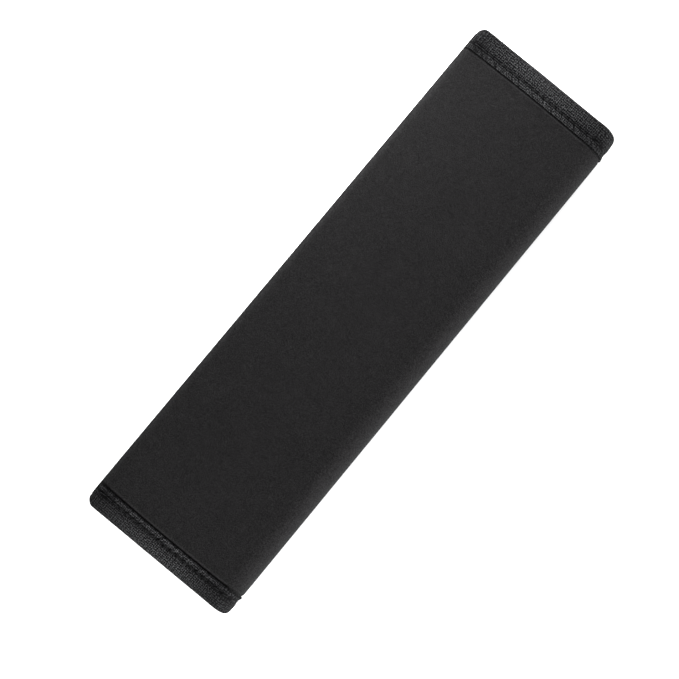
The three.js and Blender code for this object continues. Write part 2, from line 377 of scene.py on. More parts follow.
def makeVelour():
    material, tree, surface = newMaterial("coverVelour", {
        "Roughness": 0.95,
        "Specular IOR Level": 0.03,
        "Sheen Weight": 0.02,
        "Sheen Roughness": 0.5,
        "Sheen Tint": (0.86, 0.86, 0.9, 1),
    })
    place = clothPlace(tree)
    nap = noise(tree, place, velour["napScale"], detail=3.0, roughness=0.62)
    lay = noise(tree, place, velour["layScale"], detail=3.0, roughness=0.55)
    patches = noise(tree, place, velour["patchScale"])
    # painted glints: the lightest specks of this noise are added to the velour's colour
    paintedGlints = noise(tree, place, velour["paintedGlintScale"], detail=1.0)
    paintedGlints = rescaled(tree, paintedGlints, *velour["paintedGlintRange"])
    shade = mixture(
        tree,
        (nap, velour["napShare"]),
        (lay, velour["layShare"]),
        (patches, velour["patchShare"]),
        (paintedGlints, velour["paintedGlintShare"]),
    )
    shade = rescaled(tree, shade, *velour["shadeRange"])
    # the painted crevice shade is taken off the cover's colour
    paint(tree, surface, calculate(tree, "SUBTRACT", shade, pieceValue(tree, "paintedCreviceShade")), velour)
    height = mixture(tree, (nap, 1.0), (patches, velour["patchHeight"]))
    addBump(tree, surface, height, velour["napHeight"], strength=0.7)
    return material


weave = {  # of the binding tape
    "dark": (0.0005, 0.0005, 0.0006),
    "light": (0.0655, 0.066, 0.068),
    "threadPitch": 0.85,
    "threadWander": 0.6,
    "threadShare": 0.3,
    "grainScale": 1.9,
    "grainShare": 0.95,
    "shadeRange": (0.46, 0.73),
    "height": 0.25,
}


def makeWeave():
    material, tree, surface = newMaterial("bindingWeave", {"Roughness": 0.85, "Specular IOR Level": 0.03})
    place = clothPlace(tree)
    warp = bands(tree, place, weave["threadPitch"], "X", weave["threadWander"])
    weft = bands(tree, place, weave["threadPitch"], "Y", weave["threadWander"])
    threads = calculate(tree, "MULTIPLY", warp, weft)
    grain = noise(tree, place, weave["grainScale"], detail=0.6)
    fine = mixture(tree, (threads, weave["threadShare"]), (grain, weave["grainShare"]))
    # the tape's colour is multiplied by its painted light and shade
    shade = calculate(tree, "MULTIPLY", rescaled(tree, fine, *weave["shadeRange"]), pieceValue(tree, "ribsAndPaintedShade"))
    paint(tree, surface, shade, weave)
    addBump(tree, surface, calculate(tree, "ADD", threads, grain), weave["height"], strength=0.8)
    return material


knit = {  # of the lining
    "dark": (0.009, 0.009, 0.0095),
    "light": (0.024, 0.024, 0.025),
    "walePitch": 0.7,
    "coursePitch": 0.55,
    "loopWander": 1.2,
    "loopShare": 0.6,
    "grainScale": 0.5,
    "grainShare": 0.4,
    "height": 0.2,
}


def makeKnit():
    material, tree, surface = newMaterial("liningKnit", {"Roughness": 0.85, "Specular IOR Level": 0.25})
    place = clothPlace(tree)
    wale = bands(tree, place, knit["walePitch"], "X", knit["loopWander"])
    course = bands(tree, place, knit["coursePitch"], "Y", knit["loopWander"])
    loops = calculate(tree, "MULTIPLY", wale, course)
    grain = noise(tree, place, knit["grainScale"])
    shade = mixture(tree, (loops, knit["loopShare"]), (grain, knit["grainShare"]))
    paint(tree, surface, shade, knit)
    addBump(tree, surface, loops, knit["height"], strength=0.8)
    return material


foamFinish = {
    "dark": (0.03, 0.03, 0.029),
    "light": (0.1, 0.1, 0.096),
    "cellScale": 1700.0,
    "height": 0.4,
}


def makeFoamCells():
    material, tree, surface = newMaterial("foamCells", {"Roughness": 1.0, "Specular IOR Level": 0.1})
    place = addNode(tree, "ShaderNodeTexCoord").outputs["Object"]
    inputs = {"Vector": place, "Scale": foamFinish["cellScale"]}
    cells = addNode(tree, "ShaderNodeTexVoronoi", inputs).outputs["Distance"]
    paint(tree, surface, cells, foamFinish)
    addBump(tree, surface, cells, foamFinish["height"], strength=1.0)
    return material


plainFinishes = {  # of the thread, the hooks and loops, and the woven tape that these stand on
    "sewingThread": {
        "dark": (0.0025, 0.0025, 0.0028),
        "light": (0.008, 0.008, 0.0085),
        "roughness": 0.7,
        "grainScale": 2500.0,
    },
    "hookNylon": {
        "dark": (0.008, 0.008, 0.009),
        "light": (0.018, 0.018, 0.019),
        "roughness": 0.4,
        "grainScale": 900.0,
    },
    "loopNylon": {
        "dark": (0.01, 0.01, 0.011),
        "light": (0.022, 0.022, 0.024),
        "roughness": 0.7,
        "grainScale": 900.0,
    },
    "stripGround": {
        "dark": (0.008, 0.008, 0.009),
        "light": (0.02, 0.02, 0.021),
        "roughness": 0.7,
        "grainScale": 1800.0,
    },
}


def makePlain(name):
    finish = plainFinishes[name]
    shader = {"Roughness": finish["roughness"], "Specular IOR Level": 0.12}
    material, tree, surface = newMaterial(name, shader)
    place = addNode(tree, "ShaderNodeTexCoord").outputs["Object"]
    grain = noise(tree, place, finish["grainScale"], detail=3.0, roughness=0.6)
    paint(tree, surface, rescaled(tree, grain, low=0.3, high=0.7), finish)
    addBump(tree, surface, grain, distance=0.05, strength=0.6)
    return material


# the outer cover

coverMesh = {
    "foldSteps": 36,
    "faceStep": 1.7,
    "edgeSteps": 14,
    "flangeSteps": 4,
    "fineStation": 0.3,
    "coarseStation": 2.6,
    "fineReach": 13.0,
}

settling = {  # how the cover's cloth settles over the foam
    "foldSteps": 16,
    "faceStep": 3.2,
    "alongStep": 3.4,
    "pressure": 4.0,
    "mass": 0.2,
    "stretch": 15.0,  # how firmly the cloth resists being pulled, and then bent
    "bending": 10.0,
    "quality": 6,
    "lastFrame": 20,
    "foamHold": 0.15,  # how firmly the foam holds the cloth, against 1 under the tape
    "edgeFreedom": 0.15,  # how free the cloth is at the turned-in edge, against 1 on the face
    "tapeFade": 5,
    "edgeFade": 4,
    "lowest": -0.12,
    "cap": 0.45,
}


def coverWall(radius):
    # across the cover, as u and d: turned-in edge, round edge, outer face, round edge, turned-in edge
    centre = flatHalf - sheetHalf
    angles = np.linspace(-math.pi / 2, math.pi / 2, coverMesh["edgeSteps"] + 1)
    flange = np.linspace(flatHalf - sheet["turnIn"], centre, coverMesh["flangeSteps"] + 1)[:-1]
    outer = faceStations(coverMesh, sheetHalf)[1:-1]
    rightU = np.concatenate([flange, centre + radius * np.cos(angles)])
    rightD = np.concatenate([np.full(len(flange), -radius), radius * np.sin(angles)])
    u = np.concatenate([-rightU, outer, rightU[::-1]])
    d = np.concatenate([rightD, np.full(len(outer), radius), rightD[::-1]])
    return u, d


def holdCloth(cloth, u, y):  # firm under the tape, less so at the edges and least on the faces
    fromTape = np.clip((halfLength - np.abs(y) - binding["reach"]) / settling["tapeFade"], 0, 1)[:, None]
    fromEdge = np.clip((flatHalf - sheet["turnIn"] - np.abs(u)) / settling["edgeFade"], 0, 1)[None, :]
    freedom = settling["edgeFreedom"] + (1 - settling["edgeFreedom"]) * smooth(fromEdge)
    hold = 1 - (1 - settling["foamHold"]) * smooth(fromTape) * freedom
    held = cloth.vertex_groups.new(name="held")
    for index, weight in enumerate(hold.ravel().tolist()):
        held.add([index], weight, "REPLACE")


def runCloth(cloth):  # where the cloth's points lie after the last frame, in metres
    modifier = cloth.modifiers.new("settling", "CLOTH")
    settings = modifier.settings
    settings.quality = settling["quality"]
    settings.mass = settling["mass"]
    settings.vertex_group_mass = "held"
    settings.pin_stiffness = 1.0
    settings.use_pressure = True
    settings.uniform_pressure_force = settling["pressure"]
    settings.tension_stiffness = settling["stretch"]
    settings.compression_stiffness = settling["stretch"]
    settings.bending_stiffness = settling["bending"]
    settings.effector_weights.gravity = 0
    modifier.point_cache.frame_start = 1
    modifier.point_cache.frame_end = settling["lastFrame"]
    for step in range(1, settling["lastFrame"] + 1):
        bpy.context.scene.frame_set(step)
    settled = cloth.evaluated_get(bpy.context.evaluated_depsgraph_get()).data
    places = np.empty(len(settled.vertices) * 3, np.float32)
    settled.vertices.foreach_get("co", places)
    return places


def settleCover():  # how far each place of a coarse grid moves outwards, in millimetres
    u = faceStations(settling, sheetHalf)
    y = np.linspace(-cutLength, cutLength, int(2 * cutLength / settling["alongStep"]) + 1)
    start = placeInSheet(u, sheetHalf, y[:, None])
    outwards = unit(placeInSheet(u, sheetHalf + 2 * probe, y[:, None]) - start)
    number = np.arange(start[..., 0].size).reshape(start.shape[:2])
    faces = np.stack([number[:-1, :-1], number[1:, :-1], number[1:, 1:], number[:-1, 1:]], -1)
    cloth = meshFrom("coverGrid", start.reshape(-1, 3), faces.reshape(-1, 4))
    holdCloth(cloth, u, y)
    moved = runCloth(cloth).reshape(start.shape) / millimetre - start
    bpy.data.objects.remove(cloth)
    bpy.context.scene.frame_set(1)
    rise = (moved * outwards).sum(-1)
    print("cover settled by", np.percentile(rise, [0, 5, 25, 50, 75, 95, 100]).round(3).tolist(), "mm")
    return u, y, np.clip(rise, settling["lowest"], settling["cap"])


def splineWeights(places, stations):  # a smooth curve through even stations, as a table of shares
    along = np.interp(places, stations, np.arange(len(stations)))
    first = np.minimum(np.floor(along).astype(int), len(stations) - 2)
    t = along - first
    shares = ((1 - t) ** 3, 3 * t ** 3 - 6 * t ** 2 + 4, -3 * t ** 3 + 3 * t ** 2 + 3 * t + 1, t ** 3)
    table = np.zeros((len(places), len(stations)))
    for step, share in zip((-1, 0, 1, 2), shares):
        index = np.clip(first + step, 0, len(stations) - 1)
        np.add.at(table, (np.arange(len(places)), index), share / 6)
    return table


def makeCover(material):
    y = lengthStations(coverMesh)
    outerU, outerD = coverWall(sheetHalf)
    innerU, innerD = coverWall(coverInside)
    gridU, gridY, rise = settleCover()
    lift = splineWeights(y[:, 0], gridY) @ rise @ splineWeights(outerU, gridU).T
    # only the outer face rises, and on the back half not at all
    lift = lift * (outerD == sheetHalf) * smooth(np.clip((outerU + quarterTurn) / quarterTurn, 0, 1))
    outer = placeInSheet(outerU, outerD + lift, y)
    inner = placeInSheet(innerU, innerD + lift, y)
    cloth = np.stack(np.broadcast_arrays(outerU, y, outerD), -1)
    cover = solidBetween("outer_cover_velour", outer, inner, cloth)
    besideTape = halfLength - np.abs(y) - binding["reach"]
    # painted shade: the cover is painted darker in the crevice beside the tape's inner edge, fading away
    # from it
    paintedCreviceShade = velour["paintedCreviceShade"] * np.exp(-np.maximum(besideTape, 0) / velour["paintedShadeReach"])
    addValues(cover, "paintedCreviceShade", np.repeat(paintedCreviceShade, 2 * len(outerU)))
    keep(cover, "outer_cover", material)


# the foam and the lining

foamMesh = {
    "foldSteps": 24,
    "faceStep": 4.0,
    "edgeSteps": 5,
    "edgeTurn": 88,  # in degrees, short of a sharp edge
    "fineStation": 1.0,
    "coarseStation": 6.0,
    "fineReach": 18.0,
}

liningMesh = {
    "foldSteps": 30,
    "faceStep": 2.4,
    "fineStation": 0.6,
    "coarseStation": 4.0,
    "fineReach": 16.0,
}


def makeFoam(material):
    y = lengthStations(foamMesh)
    radius = sheet["foam"] / 2
    side = faceStations(foamMesh, sheetHalf)
    angles = np.linspace(0, math.radians(foamMesh["edgeTurn"]), foamMesh["edgeSteps"] + 1)[1:]
    edgeU = flatHalf - sheetHalf + radius * np.sin(angles)
    edgeD = radius * np.cos(angles)
    u = np.concatenate([-edgeU[::-1], side, edgeU])
    d = np.concatenate([edgeD[::-1], np.full(len(side), radius), edgeD])
    cloth = np.stack(np.broadcast_arrays(u, y, d), -1)
    foam = solidBetween("foam_slab", placeInSheet(u, d, y), placeInSheet(u, -d, y), cloth)
    keep(foam, "foam_padding", material)


def makeLining(material):
    y = lengthStations(liningMesh)
    margin = sheet["turnIn"] + sheet["gap"]
    u = faceStations(liningMesh, margin)
    cloth = np.stack(np.broadcast_arrays(u, y, 0 * u), -1)
    inner = placeInSheet(u, -liningFace, y)
    lining = solidBetween("lining_sheet", inner, placeInSheet(u, -coverInside, y), cloth)
    keep(lining, "inner_lining", material)


# the binding tapes

tapeMesh = {
    "step": 0.28,
    "edgeStations": (0.0, 0.06, 0.16, 0.3),  # across the rounding of the inner edge
    "edgeShare": 0.12,  # of the tape's thickness, left at that edge
    "legStart": 0.55,
    "legStations": 20,
    "endSteps": 8,
    "faceFrom": 0.98,  # where the ribs begin on each face, as a share of the sheet's half thickness
    "faceFade": 0.05,
}

# a value that chance alters is given as its least, the most that chance adds, and how many places
# along the tape have their own
ribs = {
    "seeds": {1: 11, -1: 12},
    "pitch": 1.7,  # from one rib of the woven tape to the next
    "height": 0.05,
    "uneven": (0.7, 0.6, 140),
    "wander": (0, 0.25, 40),
    "insideFrom": -0.2,  # where past the seam the ribs begin to give way to creases
    "insideRise": 0.6,
    "insideLower": 0.6,  # how much lower the ribs are there
    "creaseDepth": 0.26,  # the slanted creases that each stitch pulls beside the inner edge
    "creaseWidth": 0.42,
    "creaseReach": 4,
    "creaseStrength": (0.55, 0.75),
    "creaseTurn": (0.6, 0.8),
    "midwayShare": 0.6,  # of the creases between two stitches
    "slant": 0.9,
    "pressAt": (6.9, 70.3),  # where the seam's ends press the tape in, by the fold and the open edge
    "pressRadius": (2.6, 1.5),
    "pressBeyond": 0.4,  # how far past the seam that is
    "pressDepth": 0.15,
    "thinnest": 0.12,  # what all these leave of the tape
    "atFold": 0.6,  # how much flatter the tape lies round the fold
    "foldReach": 1.6,  # in quarter turns from the fold line
    "sideFade": 0.5,
}

stitching = {
    "length": 3.4,
    "gap": 0.12,  # left at each end of a stitch
    "threadRadius": 0.16,
    "fromEdge": 2.6,
    "dive": 0.34,
    "arch": 1.3,
    "grooveDepth": 0.22,
    "grooveWidth": 0.6,
    "dimpleDepth": 0.24,
    "dimpleRadius": 0.55,
    "puffDepth": 0.12,  # the tape swells and sinks between stitches, just inside the seam
    "puffPlace": 1.4,
    "puffReach": 1.1,
}

tapeShade = {  # painted light and shade: how light each place of the tape is painted, as shares
    "plain": 0.55,
    "ribsAndPaintedShade": 0.15,
    "besideCrease": 0.1,
    "crease": 0.85,
    "sewn": 2.6,
    "pressed": 0.5,
    "innerEdge": 0.15,
    "innerEdgeReach": 0.6,
    "sides": 0.08,  # painted light: at the fold and the open edge, added to the light painted on the middle of each face
    "middleReach": 33,
    "innerWall": 0.5,
    "paintedLightRange": (0.03, 1.4),
    "leastLight": 0.1,  # what the seam's painted shade leaves of it
}


def seamHoles():
    reach = flatHalf - stitching["fromEdge"]
    return np.linspace(-reach, reach, int(round(2 * reach / stitching["length"])) + 1)


def pressedIn(u, toSeam):
    across, along = ribs["pressRadius"]
    press = sum(np.exp(-((np.abs(u) - place) / across) ** 2) for place in ribs["pressAt"])
    return press * np.exp(-((toSeam + ribs["pressBeyond"]) / along) ** 2)


def byChance(random, least, added, count=None):
    return least + added * random.random(count)


def alongTape(u, side, random, values):
    places = np.linspace(-side, side, values[2])
    return np.interp(u, places, byChance(random, *values))


def creasesAt(u, lean, places, random):
    total = 0 * (u + lean)
    for place in places:
        strength = byChance(random, *ribs["creaseStrength"])
        turn = byChance(random, *ribs["creaseTurn"])
        total += strength * np.exp(-((u + lean * turn - place) / ribs["creaseWidth"]) ** 2)
    return total


# one wall of the tape, as d and y, from one inner edge round the cut end to the other inner edge
def tapeWall(outwards):
    edge = np.array(tapeMesh["edgeStations"])
    legStart = halfLength - binding["reach"] + tapeMesh["legStart"]
    leg = np.concatenate([
        edge + halfLength - binding["reach"],
        np.linspace(legStart, cutLength, tapeMesh["legStations"]),
    ])
    angles = np.linspace(0, math.pi / 2, tapeMesh["endSteps"] + 1)[1:]
    beside = binding["clearance"] + outwards
    beyond = sheet["endGap"] + outwards
    middle = binding["clearance"] + binding["thickness"] / 2
    fromEdge = np.clip((leg - leg[0]) / edge[-1], 0, 1)
    rounding = np.sqrt(1 - (1 - fromEdge) ** 2)
    legD = middle + (beside - middle) * np.maximum(rounding, tapeMesh["edgeShare"])
    d = np.concatenate([sheetHalf + legD, sheetHalf + beside * np.cos(angles)])
    y = np.concatenate([leg, cutLength + beyond * np.sin(angles)])
    return np.concatenate([d, -d[::-1]]), np.concatenate([y, y[::-1]])


def tapeForm(u, side, d, toSeam, end):  # its ribs and creases, and what the seam does to it
    random = np.random.default_rng(ribs["seeds"][end])
    uneven = alongTape(u, side, random, ribs["uneven"])
    wander = alongTape(u, side, random, ribs["wander"])
    holes = seamHoles()
    midway = (holes[1:] + holes[:-1]) / 2
    lean = toSeam * ribs["slant"] * np.sign(d) * end
    crease = creasesAt(u, lean, holes, random)
    crease = crease + ribs["midwayShare"] * creasesAt(u, lean, midway, random)
    # 1 between the seam and the inner edge
    inside = smooth(np.clip((toSeam - ribs["insideFrom"]) / ribs["insideRise"], 0, 1))
    toHole = np.abs(u - holes).min(1)[:, None]
    fromHole = np.hypot(toHole, toSeam) / stitching["dimpleRadius"]
    dimple = stitching["dimpleDepth"] * np.exp(-fromHole ** 2)
    groove = stitching["grooveDepth"] * np.exp(-(toSeam / stitching["grooveWidth"]) ** 2)
    puff = stitching["puffDepth"] * np.cos(2 * math.pi * toHole / stitching["length"])
    return {
        "ribsAndPaintedShade": uneven * np.cos(2 * math.pi * (u + wander) / ribs["pitch"]),
        "crease": crease * inside * np.exp(-np.maximum(toSeam, 0) / ribs["creaseReach"]),
        "inside": inside,
        "sewn": dimple + groove,
        "puff": puff * np.exp(-((toSeam - stitching["puffPlace"]) / stitching["puffReach"]) ** 2),
        "pressed": pressedIn(u, toSeam),
    }


def tapeRelief(form):  # how far the outer wall stands out, in millimetres
    relief = ribs["height"] * form["ribsAndPaintedShade"] * (1 - ribs["insideLower"] * form["inside"])
    relief = relief - ribs["creaseDepth"] * form["crease"]
    sunk = form["sewn"] + form["puff"] + ribs["pressDepth"] * form["pressed"]
    return np.maximum(relief - sunk, ribs["thinnest"] - binding["thickness"])


# painted light and shade: the ribs are painted lighter than the valleys between them, partly the tape's own
# colour and partly painted shade; the groove, the needle holes, the creases, the pressed places and the
# inner edge are painted in shade
def tapeLight(form, u, fromEnd, loose):
    inside = form["inside"]
    paintedCreaseShade = (tapeShade["besideCrease"] - tapeShade["crease"] * form["crease"]) * inside
    paintedRibLight = tapeShade["ribsAndPaintedShade"] * form["ribsAndPaintedShade"] * (1 - inside)
    height = np.clip(tapeShade["plain"] + loose * (paintedRibLight + paintedCreaseShade), *tapeShade["paintedLightRange"])
    paintedSeamAndPressShade = tapeShade["sewn"] * form["sewn"] + tapeShade["pressed"] * form["pressed"]
    shade = height * np.clip(1 - paintedSeamAndPressShade, tapeShade["leastLight"], 1)
    # painted shade along the tape's inner edge
    fromInnerEdge = (binding["reach"] - fromEnd) / tapeShade["innerEdgeReach"]
    shade = shade * np.clip(tapeShade["innerEdge"] + fromInnerEdge, tapeShade["innerEdge"], 1)
    # painted light: the middle of each face is painted lighter, the fold and the open edge darker
    middle = np.exp(-((np.abs(u) - flatHalf / 2) / tapeShade["middleReach"]) ** 2)
    return shade * (tapeShade["sides"] + middle)


def makeBinding(name, node, end, material):
    side = flatHalf - binding["sideInset"]
    u = np.linspace(-side, side, int(2 * side / tapeMesh["step"]) + 1)[:, None]
    outerD, outerY = tapeWall(binding["thickness"])
    innerD, innerY = tapeWall(0)
    fromEnd = halfLength - outerY
    form = tapeForm(u, side, outerD, fromEnd - binding["seam"], end)
    onFace = 1 - ribs["atFold"] * smooth(np.clip(ribs["foldReach"] - np.abs(u) / quarterTurn, 0, 1))
    loose = np.clip((side - np.abs(u)) / ribs["sideFade"], 0, 1) * onFace
    # the relief is on both faces of the sheet, but not round its cut end
    fade = tapeMesh["faceFade"]
    onLegs = np.clip(np.abs(outerD) - sheetHalf * tapeMesh["faceFrom"], 0, fade) / fade
    reliefD = outerD + tapeRelief(form) * loose * np.sign(outerD) * onLegs
    outer = placeOnSheet(u, end * reliefD, end * outerY)
    inner = placeOnSheet(u, end * innerD, end * innerY)
    steps = np.hypot(np.diff(outerD), np.diff(outerY))
    wayRound = np.concatenate([[0], np.cumsum(steps)])
    cloth = np.stack(np.broadcast_arrays(u, wayRound, 0 * wayRound), -1)
    tape = solidBetween(name, outer, inner, cloth)
    light = tapeLight(form, u, fromEnd, loose)
    # the painted light and shade are stored on the tape; its inner wall is painted an even middle tone
    addValues(tape, "ribsAndPaintedShade", np.stack([light, np.full_like(light, tapeShade["innerWall"])], 1))
    keep(tape, node, material)


# arches of thread, hooks and loops, by Geometry Nodes

def archTree():
    tree = bpy.data.node_groups.new("threadArches", "GeometryNodeTree")
    tree.interface.new_socket(name="Geometry", in_out="OUTPUT", socket_type="NodeSocketGeometry")
    kinds = {
        "Geometry": "Geometry",
        "Start": "Vector",
        "Middle": "Vector",
        "End": "Vector",
        "Radius": "Float",
        "Sides": "Int",
        "Steps": "Int",
        "Turn": "Float",
        "Uneven": "Float",
        "Seed": "Int",
        "Material": "Material",
    }
    for name, kind in kinds.items():
        tree.interface.new_socket(name=name, in_out="INPUT", socket_type="NodeSocket" + kind)
    given = tree.nodes.new("NodeGroupInput").outputs
    line = addNode(tree, "GeometryNodeCurveQuadraticBezier", {
        "Resolution": given["Steps"],
        "Start": given["Start"],
        "Middle": given["Middle"],
        "End": given["End"],
    })
    circle = addNode(tree, "GeometryNodeCurvePrimitiveCircle", {
        "Resolution": given["Sides"], "Radius": given["Radius"],
    })
    arch = addNode(tree, "GeometryNodeCurveToMesh", {
        "Curve": line.outputs["Curve"], "Profile Curve": circle.outputs["Curve"], "Fill Caps": True,
    })
    reader = "GeometryNodeInputNamedAttribute"
    along = addNode(tree, reader, {"Name": "along"}, data_type="FLOAT_VECTOR")
    out = addNode(tree, reader, {"Name": "out"}, data_type="FLOAT_VECTOR")
    facing = addNode(tree, "FunctionNodeAxesToRotation", {
        "Primary Axis": out.outputs["Attribute"], "Secondary Axis": along.outputs["Attribute"],
    }, primary_axis="Z", secondary_axis="X")
    least = addNode(tree, "ShaderNodeMath", {0: given["Turn"], 1: -1.0}, operation="MULTIPLY")
    turn = addNode(tree, "FunctionNodeRandomValue", {
        "Min": least.outputs[0], "Max": given["Turn"], "Seed": given["Seed"],
    }, data_type="FLOAT")
    spin = addNode(tree, "FunctionNodeAxisAngleToRotation", {
        "Axis": (0, 0, 1), "Angle": turn.outputs["Value"],
    })
    turned = addNode(tree, "FunctionNodeRotateRotation", {
        "Rotation": facing.outputs["Rotation"], "Rotate By": spin.outputs["Rotation"],
    }, rotation_space="LOCAL")
    smallest = addNode(tree, "ShaderNodeMath", {0: 1.0, 1: given["Uneven"]}, operation="SUBTRACT")
    size = addNode(tree, "FunctionNodeRandomValue", {
        "Min": smallest.outputs[0], "Max": 1.0, "Seed": given["Seed"],
    }, data_type="FLOAT")
    copies = addNode(tree, "GeometryNodeInstanceOnPoints", {
        "Points": given["Geometry"], "Instance": arch.outputs["Mesh"],
        "Rotation": turned.outputs["Rotation"], "Scale": size.outputs["Value"],
    })
    real = addNode(tree, "GeometryNodeRealizeInstances", {"Geometry": copies.outputs["Instances"]})
    soft = addNode(tree, "GeometryNodeSetShadeSmooth", {"Geometry": real.outputs["Geometry"]})
    painted = addNode(tree, "GeometryNodeSetMaterial", {
        "Geometry": soft.outputs["Geometry"], "Material": given["Material"],
    })
    result = tree.nodes.new("NodeGroupOutput")
    tree.links.new(painted.outputs["Geometry"], result.inputs["Geometry"])
    return tree


# one arch at each place of the guide; the shape's lengths are in millimetres
def addArches(name, node, tree, guide, shape, material):
    places, along, out = guide
    mesh = bpy.data.meshes.new(name + "Guide")
    mesh.from_pydata((places * millimetre).tolist(), [], [])
    for label, vectors in (("along", along), ("out", out)):
        layer = mesh.attributes.new(label, "FLOAT_VECTOR", "POINT")
        layer.data.foreach_set("vector", np.asarray(vectors, np.float32).ravel())
    guideObject = bpy.data.objects.new(name + "Guide", mesh)
    bpy.context.scene.collection.objects.link(guideObject)
    modifier = guideObject.modifiers.new("threadArches", "NODES")
    modifier.node_group = tree
    values = {**shape, "Material": material}
    for label in ("Start", "Middle", "End", "Radius"):
        values[label] = np.multiply(shape[label], millimetre).tolist()
    for item in tree.interface.items_tree:
        if item.in_out == "INPUT" and item.name in values:
            modifier[item.identifier] = values[item.name]
    graph = bpy.context.evaluated_depsgraph_get()
    made = bpy.data.meshes.new_from_object(guideObject.evaluated_get(graph))
    made.name = name
    guideObject.modifiers.remove(modifier)
    bpy.data.objects.remove(guideObject)
    piece = bpy.data.objects.new(name, made)
    bpy.context.scene.collection.objects.link(piece)
    keep(piece, node, material)


def guideOnTape(u, side, end):
    y = end * (halfLength - binding["seam"])
    floor = stitching["grooveDepth"] + ribs["pressDepth"] * pressedIn(u, 0.0)
    d = side * (tapeOutside - floor + stitching["threadRadius"])
    places = placeOnSheet(u, d, y)
    along = unit(placeOnSheet(u + probe, d, y) - placeOnSheet(u - probe, d, y))
    out = unit(placeOnSheet(u, d + side * probe, y) - placeOnSheet(u, d - side * probe, y))
    return places, along, out


def makeBindingSeam(end, side, name, node, tree, material):
    holes = seamHoles()
    half = stitching["length"] / 2 - stitching["gap"]
    shape = {
        "Start": (-half, 0, -stitching["dive"]),
        "Middle": (0, 0, stitching["dive"] * stitching["arch"]),
        "End": (half, 0, -stitching["dive"]),
        "Radius": stitching["threadRadius"],
        "Sides": 7,
        "Steps": 7,
        "Turn": 0.09,
        "Uneven": 0.04,
        "Seed": 3,
    }
    guide = guideOnTape((holes[1:] + holes[:-1]) / 2, side, end)
    addArches(name, node, tree, guide, shape, material)


# the fastening strips along the open edge

fasteners = {
    "groundSteps": (24, 159),  # across the strip and along it
    "groundRelief": 0.05,
    "groundPitch": (1.3, 2.9),  # also across and along
    "stitchLength": 2.8,
    "stitchGap": 0.15,
    "stitchHeight": 0.12,
    "stitchDive": 0.2,
    "stitchArch": 0.28,
    "threadRadius": 0.15,
    "pileMargin": 0.3,  # between the selvedge and the hooks or loops
    "hookPitch": 1.5,
    "loopPitch": 1.35,
    "hookHeight": 1.1,
    "loopHeight": 1.05,
    "hookRadius": 0.1,
    "loopRadius": 0.07,
}

stripStitchShape = {
    "Start": (fasteners["stitchGap"] - fasteners["stitchLength"] / 2, 0, -fasteners["stitchDive"]),
    "Middle": (0, 0, fasteners["stitchArch"]),
    "End": (fasteners["stitchLength"] / 2 - fasteners["stitchGap"], 0, -fasteners["stitchDive"]),
    "Radius": fasteners["threadRadius"],
    "Sides": 6,
    "Steps": 5,
    "Turn": 0.05,
    "Uneven": 0.03,
    "Seed": 5,
}

hookShape = {
    "Start": (-0.25, 0, -0.1),
    "Middle": (-0.1, 0, fasteners["hookHeight"] * 2.1),
    "End": (0.45, 0, fasteners["hookHeight"] * 0.45),
    "Radius": fasteners["hookRadius"],
    "Sides": 5,
    "Steps": 6,
    "Turn": 0.25,
    "Uneven": 0.06,
    "Seed": 7,
}

loopShape = {
    "Start": (-0.45, 0, -0.1),
    "Middle": (0.1, 0.2, fasteners["loopHeight"] * 2),
    "End": (0.45, 0, -0.1),
    "Radius": fasteners["loopRadius"],
    "Sides": 4,
    "Steps": 6,
    "Turn": 3.1,
    "Uneven": 0.35,
    "Seed": 9,
}


def makeStripGround(half, name, node, material):
    acrossSteps, alongSteps = fasteners["groundSteps"]
    acrossPitch, alongPitch = fasteners["groundPitch"]
    u = np.linspace(stripStart, stripFinish, acrossSteps + 1)
    y = np.linspace(-stripHalfLength, stripHalfLength, alongSteps + 1)[:, None]
    waves = np.sin(2 * math.pi * y / alongPitch) * np.sin(2 * math.pi * u / acrossPitch)
    face = -(stripBack + strip["ground"]) + fasteners["groundRelief"] * waves
    cloth = np.stack(np.broadcast_arrays(u, y, 0 * u), -1)
    back = foldSheet(half * u, -stripBack + 0 * waves, y)
    ground = solidBetween(name, back, foldSheet(half * u, face, y), cloth)
    keep(ground, node, material)


def guideOnStrip(half, u, y, height):
    d = -(stripBack + strip["ground"] + height)
    places = foldSheet(half * u, d, y)
    along = unit(foldSheet(half * u, d, y + probe) - foldSheet(half * u, d, y - probe))
    out = unit(foldSheet(half * u, d - probe, y) - foldSheet(half * u, d + probe, y))
    return places, along, out


def makePile(half, name, pitch, shape, tree, material):
    inside = strip["selvedge"] + fasteners["pileMargin"]
    u = np.arange(stripStart + inside, stripFinish - inside, pitch)
    y = np.arange(-stripHalfLength + inside, stripHalfLength - inside, pitch)
    gridU, gridY = np.meshgrid(u, y)
    gridY = gridY + (np.arange(len(u)) % 2)[None, :] * pitch / 2
    guide = guideOnStrip(half, gridU.ravel(), gridY.ravel(), 0.0)
    addArches(name, None, tree, guide, shape, material)


